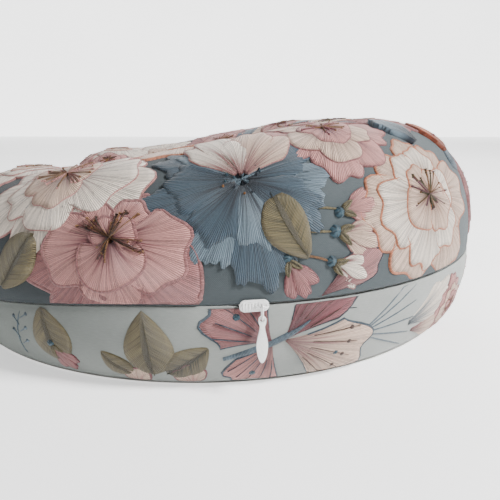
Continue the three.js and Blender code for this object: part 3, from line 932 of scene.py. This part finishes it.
def onBand(angle, height, inside=False):
    def place(x, y):
        head = crossSection(angle)[2] - stitch["bandHead"]
        z = clamp(height + y, stitch["bandFoot"], head)
        run = degrees(x / pillow["waistRadius" if inside else "outerRadius"])
        limit = pillow["tipAngle"] + stitch["bandOverrun"]
        turn = clamp(angle + (-run if inside else run), -limit, limit)
        seam = crossSection(turn)[2]
        z = min(z, seam - stitch["bandHead"])
        clear = smoothStep((seam - z - stitch["clearRun"]) / stitch["clearFade"])
        clear *= smoothStep(z / stitch["edgeFade"])
        behindTab = 0 if inside else exp(-((turn + pillow["zipRest"]) / stitch["tabReach"]) ** 2)
        clear *= 1 - stitch["tabPress"] * behindTab
        return bandPoint(turn, z, inside), mix(stitch["lowLift"], stitch["bandLift"], clear)
    return place


def onPlan(centreX, centreY):
    def place(x, y):
        above = Vector((centreX + x, centreY + y, 1))
        hit = formTree.ray_cast(above, Vector((0, 0, -1)))[0]
        return (hit if hit else Vector((above.x, above.y, pillow["tipSeamHeight"]))), 1
    return place


def region(angle):
    return "nearArm" if angle < -48 else "bridge" if angle < 48 else "farArm"


topWork = {name: Stitches(name + "Embroidery") for name in ("nearArm", "bridge", "farArm")}


def put(angle, along, maker, *args, **kwargs):
    work = topWork[region(angle)]
    work.place = onTop(angle, along)
    maker(work, *args, **kwargs)


# near arm and bridge, seen from the outer side
put(-80, 0.076, addBlueBlossom, 0.108, 4)
put(-76, 0.066, addLeaf, -62, 0.046, 0.028, *oliveLeaf, seed=3, layer=5)
put(-123, 0.150, addLeaf, 20, 0.06, 0.03, navy, mistBlue, seed=4, layer=4)
put(-112, 0.092, addPeony, 0.135, palettes["white"], 11, turn=15)
put(-99, 0.042, addPeony, 0.132, palettes["pink"], 12, petals=(6, 5, 3), tilt=0.5, turn=20)
put(-46, 0.056, addPeony, 0.128, palettes["creamPeach"], 13, turn=40)
put(-61, 0.122, addPeony, 0.098, palettes["mistyRose"], 14, stamens=16)
put(-69, 0.0015, addPetal, 30, 0.050, 44, deepRose, dustyPink, navy, 0.0018,
    seed=63, start=0.02)
put(-74, 0.026, addBud, 0.026, -62, dustyPink, rose, seed=31)
put(-65, 0.052, addBud, 0.026, 8, blush, dustyPink, seed=32)
put(-66, 0.040, addBud, 0.030, -18, cream, dustyPink, seed=33)
put(-67, 0.022, addBud, 0.026, -25, ivory, dustyPink, seed=34)
put(-70, 0.036, addStem, [(-0.026, 0.016), (0, 0.024), (0.024, 0.016)], paleOlive)
put(-70, 0.030, addStem, [(-0.022, 0.012), (0, 0.012), (0.018, 0.010)], paleOlive)
put(-70, 0.022, addStem, [(-0.012, 0.006), (0, 0.006), (0.014, -0.001)], gold)
put(-27, 0.075, addLeaf, 20, 0.05, 0.022, *blueLeaf, seed=8)
put(-25, 0.084, addPetal, 60, 0.044, 80, rust, peach, rust, 0.002, seed=9, layer=5)
put(-24, 0.102, addKnot, 0, 0, 0.007, deepRose, 0.0055)
put(-112.5, 0.046, addLeaf, 236, 0.044, 0.028, *oliveLeaf, seed=10, layer=8)
put(-40, 0.094, addPetal, 96, 0.040, 70, navy, mistBlue, None, seed=14, layer=7,
    feather=0.06)

# the rest of the top, in the same garland
garland = random.Random(7)
names = ("pink", "white", "creamPeach", "mistyRose")
for step, angle in enumerate(range(-10, 128, 23)):
    put(angle, 0.050 + 0.018 * (step % 2), addPeony, 0.11, palettes[names[step % 4]], 40 + step,
        turn=garland.uniform(0, 60))
    put(angle + 11, 0.100, addLeaf, garland.uniform(40, 140), 0.046, 0.026, *oliveLeaf, seed=step)
    put(angle + 12, 0.030, addBud, 0.028, garland.uniform(-60, 60), blush, dustyPink, seed=70 + step)
    put(angle + 12, 0.060, addLeaf, garland.uniform(-100, -40), 0.034, 0.018, *blueLeaf,
        seed=step + 20)
for step, angle in enumerate(range(-124, 134, 31)):
    put(angle, 0.165, addPeony, 0.105, palettes[names[(step + 1) % 4]], 60 + step,
        turn=garland.uniform(0, 60), tilt=0.95,
        stamens=20)
    put(angle + 15, 0.185, addBlueBlossom, 0.075, 80 + step, turn=garland.uniform(-40, 40))
    put(angle + 6, 0.232, addLeaf, garland.uniform(60, 120), 0.044, 0.024, *oliveLeaf, seed=step + 5)
    put(angle - 10, 0.235, addBud, 0.03, garland.uniform(30, 150), cream, dustyPink, seed=90 + step)
for step, angle in enumerate(range(-112, 120, 56)):
    put(angle, 0.265, addPeony, 0.075, palettes[names[(step + 2) % 4]], 120 + step, stamens=12)
# the rounded ends of both arms
for step, side in enumerate((-1, 1)):
    for name, reach, turn, size in (("white", 0.0, 0, 0.082), ("pink", 0.036, 40, 0.056),
                                    ("mistyRose", 0.040, -46, 0.05)):
        heading = radians(side * pillow["tipAngle"] + side * (90 + turn))
        hub = radialPoint(side * pillow["tipAngle"], pillow["outerRadius"] - pillow["tipHalfWidth"], 0)
        work = topWork[region(side * pillow["tipAngle"])]
        work.place = onPlan(hub.x + reach * cos(heading), hub.y + reach * sin(heading))
        addPeony(work, size, palettes[name], 200 + step * 3 + turn, petals=(6, 5, 3), stamens=12, tilt=1)
for work in topWork.values():
    stitched = work.build()
    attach(stitched, "pillow")
    print(stitched.name, len(stitched.data.polygons))

bandWork = Stitches("bandEmbroidery")


def putBand(angle, height, maker, *args, inside=False, **kwargs):
    bandWork.place = onBand(angle, height, inside)
    maker(bandWork, *args, **kwargs)


putBand(-75.5, 0.033, addButterfly, 0.076, 12)
putBand(-109, 0.012, addLeaf, 104, 0.042, 0.030, *oliveLeaf, seed=41)
putBand(-110, 0.026, addBud, 0.022, -60, dustyPink, rose, seed=42)
putBand(-117, 0.012, addSprig, 0.034, 80, mistBlue, seed=43)
putBand(-94, 0.008, addLeaf, 94, 0.048, 0.032, *oliveLeaf, seed=44)
putBand(-92, 0.010, addLeaf, 38, 0.036, 0.024, moss, paleOlive, seed=45)
putBand(-97, 0.010, addLeaf, 140, 0.026, 0.016, *oliveLeaf, seed=46)
putBand(-88, -0.002, addPetal, 100, 0.020, 110, blush, cream, rose, 0.0018, seed=47)
putBand(-97, -0.002, addPetal, 80, 0.017, 110, blush, cream, rose, 0.0018, seed=48)
putBand(-52, 0.026, addPetal, 14, 0.062, 46, mistBlue, ivory, None, seed=61, feather=0.05)
putBand(-50, 0.020, addPetal, -8, 0.050, 34, dustyPink, cream, None, seed=62, feather=0.05,
        layer=1)
for k in range(6):
    spray = -26 + k * 14
    putBand(-62, 0.030, addStem, [(0, 0), (0.022, 0.022 * sin(radians(spray))),
                                  (0.052, 0.052 * sin(radians(spray)))], mistBlue, 0.001)
putBand(-36, 0.028, addPeony, 0.058, palettes["mistyRose"], 49, stamens=10)
bandNames = ("white", "pink", "mistyRose", "creamPeach")
for step, angle in enumerate(range(-14, 132, 29)):
    putBand(angle, 0.030, addPeony, 0.062, palettes[bandNames[step % 4]], 130 + step, stamens=12)
    putBand(angle + 9, 0.010, addLeaf, 75, 0.042, 0.022, *oliveLeaf, seed=50 + step)
    putBand(angle + 14, 0.012, addSprig, 0.036, 85, mistBlue, seed=51 + step)
    putBand(angle + 19, 0.034, addBud, 0.024, 200, blush, dustyPink, seed=52 + step)
putBand(64, 0.033, addButterfly, 0.052, 8)
putBand(-130, 0.022, addBud, 0.024, 70, blush, dustyPink, seed=58)
for step, angle in enumerate(range(-126, 130, 28)):
    putBand(angle, 0.030, addPeony, 0.048, palettes[bandNames[(step + 1) % 4]], 150 + step, stamens=8,
            inside=True)
    putBand(angle + 14, 0.012, addLeaf, 85, 0.034, 0.016, *oliveLeaf, seed=step,
            inside=True)
bandEmbroidery = bandWork.build()
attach(bandEmbroidery, "pillow")
print("band embroidery", len(bandEmbroidery.data.polygons))


# slider, wire link and leaf tab
slider = dict(length=0.0180, width=0.0074, plate=0.0016, standOff=0.0010, bevel=0.00042, neckWidth=0.001,
              neckLength=0.008, ridges=6, crownRise=0.0030, crownStart=0.0006, crownSpan=0.0074,
              crownRadius=0.00072, crestLength=0.62, crestWidth=0.66, crestThick=0.0009, crestBevel=0.0003,
              ridgeStep=0.0019, ridgeRadius=0.0006, ridgeBevel=0.00025, neckDepth=0.0022, sink=0.0004,
              endRound=0.47, crestShift=0.14, ridgeStart=0.38, ridgeWidth=0.6, crestRise=0.0002,
              neckShift=0.0001, neckOverlap=0.0003, neckBevel=0.0001, crownPower=0.6, crownRoundness=0.45)
fineWeld = 0.00001
plateBack = pillow["outerRadius"] + slider["standOff"]
plateFront = plateBack + slider["plate"]
zipTurn = Matrix.Translation((ringCentre.x, ringCentre.y, pillow["seamHeight"])) @ Matrix.Rotation(
    radians(-pillow["zipRest"]), 4, "Z")


def settle(piece):
    activate(piece)
    bpy.ops.object.transform_apply(location=True, rotation=True, scale=True)
    piece.data.transform(zipTurn)
    piece.data.update()


def addBevel(piece, width, segments, angle=30):
    bevel = piece.modifiers.new("softEdge", "BEVEL")
    bevel.width = width
    bevel.segments = segments
    bevel.limit_method = "ANGLE"
    bevel.angle_limit = radians(angle)
    return bevel


def roundedPlate(name, x, y, length, width, thick, bevel):
    bpy.ops.mesh.primitive_cube_add(size=1, location=(x, y, 0), scale=(thick, length, width))
    piece = bpy.context.object
    piece.name = name
    bpy.ops.object.transform_apply(location=False, rotation=False, scale=True)
    addBevel(piece, width * slider["endRound"], 10).limit_method = "WEIGHT"
    weights = piece.data.attributes.new("bevel_weight_edge", "FLOAT", "EDGE")
    for edge in piece.data.edges:
        a, b = (piece.data.vertices[i].co for i in edge.vertices)
        weights.data[edge.index].value = 1.0 if abs(a.x - b.x) > thick * 0.5 else 0.0
    addBevel(piece, bevel, 3, 50)
    applyModifiers(piece)
    return piece


def joinPieces(pieces, name):
    activate(pieces[0])
    for piece in pieces[1:]:
        piece.select_set(True)
    bpy.ops.object.join()
    pieces[0].name = name
    return pieces[0]


def wire(name, points, radius, closed):
    curve = bpy.data.curves.new(name, "CURVE")
    curve.dimensions = "3D"
    curve.bevel_depth = radius
    curve.bevel_resolution = 5
    curve.use_fill_caps = True
    spline = curve.splines.new("POLY")
    spline.points.add(len(points) - 1)
    for target, source in zip(spline.points, points):
        target.co = (*source, 1)
    spline.use_cyclic_u = closed
    piece = bpy.data.objects.new(name, curve)
    bpy.context.collection.objects.link(piece)
    activate(piece)
    bpy.ops.object.convert(target="MESH")
    piece = bpy.context.object
    tidyMesh(piece, fineWeld)
    return piece


plates = [roundedPlate("sliderPlate", plateBack + slider["plate"] / 2, 0, slider["length"], slider["width"],
                       slider["plate"], slider["bevel"]),
          roundedPlate("sliderCrest", plateFront + slider["crestRise"],
                       -slider["length"] * slider["crestShift"],
                       slider["length"] * slider["crestLength"], slider["width"] * slider["crestWidth"],
                       slider["crestThick"], slider["crestBevel"])]
for k in range(slider["ridges"]):
    y = -slider["length"] * slider["ridgeStart"] + k * slider["ridgeStep"]
    bpy.ops.mesh.primitive_cylinder_add(vertices=16, radius=slider["ridgeRadius"],
                                        depth=slider["width"] * slider["ridgeWidth"],
                                        location=(plateFront + slider["ridgeRadius"], y, 0))
    ridge = bpy.context.object
    addBevel(ridge, slider["ridgeBevel"], 2)
    applyModifiers(ridge)
    plates.append(ridge)
neckBack = pillow["outerRadius"] - slider["neckDepth"]
plates.append(roundedPlate("sliderNeck", (plateBack + neckBack) / 2 + slider["neckShift"], 0,
                           slider["neckLength"], slider["neckWidth"],
                           plateBack - neckBack + slider["neckOverlap"],
                           slider["neckBevel"]))
crownAxis = plateFront + slider["crownRise"]
crownFoot = plateFront - slider["sink"]
crownPath = []
for i in range(25):
    t = i / 24
    a = pi * (1 - t)
    sway = copysign(abs(cos(a)) ** slider["crownPower"], cos(a))
    y = slider["crownStart"] + slider["crownSpan"] * (0.5 + 0.5 * sway)
    rise = sin(a) ** slider["crownRoundness"] if 0 < i < 24 else 0
    crownPath.append((crownFoot + (crownAxis - crownFoot) * rise, y, 0))
plates.append(wire("sliderCrown", crownPath, slider["crownRadius"], False))
sliderPiece = joinPieces(plates, "zipSlider")
settle(sliderPiece)
activate(sliderPiece)
bpy.ops.object.shade_smooth_by_angle(angle=radians(40))
sliderPiece.data.materials.clear()
sliderPiece.data.materials.append(enamel)
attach(sliderPiece, "slider")
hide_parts("slider_body")

link = dict(wire=0.0006, bend=0.0017, drop=0.006)
linkY = slider["crownStart"] + slider["crownSpan"] / 2
linkPath = []
for start, drop in ((0, 0), (pi, link["drop"])):
    for i in range(13):
        a = start + pi * i / 12
        linkPath.append((crownAxis + link["bend"] * cos(a), linkY, link["bend"] * sin(a) - drop))
linkPiece = wire("pullLink", linkPath, link["wire"], True)
settle(linkPiece)
linkPiece.data.materials.append(enamel)
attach(linkPiece, "link")
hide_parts("pull_link")

tab = dict(softEdge=0.0004)
activate(bpy.data.objects["pull_tab"])
bpy.ops.object.duplicate()
tabPiece = bpy.context.object
tabPiece.name = "leafTab"
tabPiece.data.materials.clear()
tabPiece.data.materials.append(enamel)
tidyMesh(tabPiece, fineWeld)
bpy.ops.object.shade_flat()
joinFlat = tabPiece.modifiers.new("flat", "DECIMATE")
joinFlat.decimate_type = "DISSOLVE"
joinFlat.angle_limit = radians(1)
addBevel(tabPiece, tab["softEdge"], 3, 50)
applyModifiers(tabPiece)
activate(tabPiece)
bpy.ops.object.shade_smooth_by_angle(angle=radians(35))
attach(tabPiece, "tab")
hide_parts("pull_tab")
print("zip pull ready")


# pieces inside the cover keep their CAD shapes
tapeCloth = clothMaterial("zipTape", (0.10, 0.11, 0.11), (0.15, 0.16, 0.16), pitch=0.0009, solid=True)
fibreCloth = clothMaterial("looseFibre", (0.82, 0.82, 0.82), (0.93, 0.93, 0.93), pitch=0.003, solid=True)
coilNylon = enamelMaterial("coilNylon", (0.16, 0.17, 0.17))
for material, names in ((casingCloth, ("casing_top", "casing_bottom")), (fibreCloth, ("fibre_fill",)),
                        (tapeCloth, ("zip_tape_upper", "zip_tape_lower")),
                        (coilNylon, ("zip_coil_upper", "zip_coil_lower", "zip_stop_start_upper",
                                     "zip_stop_start_lower", "zip_stop_end"))):
    for name in names:
        node = bpy.data.objects[name]
        node.data.materials.clear()
        node.data.materials.append(material)


# floor and light
stage = dict(floorSize=8.0, floorDrop=0.0006, glow=2.4, floorGlow=0.8)


def glowMaterial(name, roughness, grain, tones, strength, sockets):
    material, surface, n, coords = newMaterial(name, roughness)
    tone = n.ramp(n.noise(coords["Object"], *grain), [(0.3, (tones[0],) * 3), (0.7, (tones[1],) * 3)])
    for socket in sockets:
        n.link(tone, surface[socket])
    surface["Emission Strength"].default_value = strength
    return material


bpy.ops.mesh.primitive_plane_add(size=stage["floorSize"], location=(0, 0, -stage["floorDrop"]))
floor = bpy.context.object
floor.name = "paleFloor"
floor.data.materials.append(glowMaterial("paleFloor", 0.7, (3, 4), (0.9, 0.95), stage["floorGlow"],
                                         ("Base Color", "Emission Color")))

bpy.ops.mesh.primitive_plane_add(size=stage["floorSize"], location=(0, stage["floorSize"] / 2, 0),
                                 rotation=(radians(90), 0, 0))
backdrop = bpy.context.object
backdrop.name = "paleBackdrop"
backdrop.data.materials.append(glowMaterial("paleBackdrop", 0.8, (1.5, 3), (0.95, 1), stage["glow"],
                                            ("Emission Color",)))

lighting = dict(world=0.34, target=(0, 0, 0.08),
                lamps=dict(keyLight=((1.5, -0.7, 1.5), 0.5, 115),
                           fillLight=((-1.6, -1.4, 0.9), 1.4, 7),
                           rimLight=((0.2, 1.7, 1.5), 1.2, 22)))
world = bpy.data.worlds.new("studioWorld")
bpy.context.scene.world = world
world.use_nodes = True
world.node_tree.nodes["Background"].inputs["Color"].default_value = (1, 1, 1, 1)
world.node_tree.nodes["Background"].inputs["Strength"].default_value = lighting["world"]


def softLight(name, place, size, power):
    bpy.ops.object.light_add(type="AREA", location=place)
    light = bpy.context.object
    light.name = name
    light.data.shape = "SQUARE"
    light.data.size = size
    light.data.energy = power
    light.rotation_euler = (Vector(lighting["target"]) - Vector(place)).to_track_quat("-Z", "Y").to_euler()


for name, (place, size, power) in lighting["lamps"].items():
    softLight(name, place, size, power)

print("scene ready")
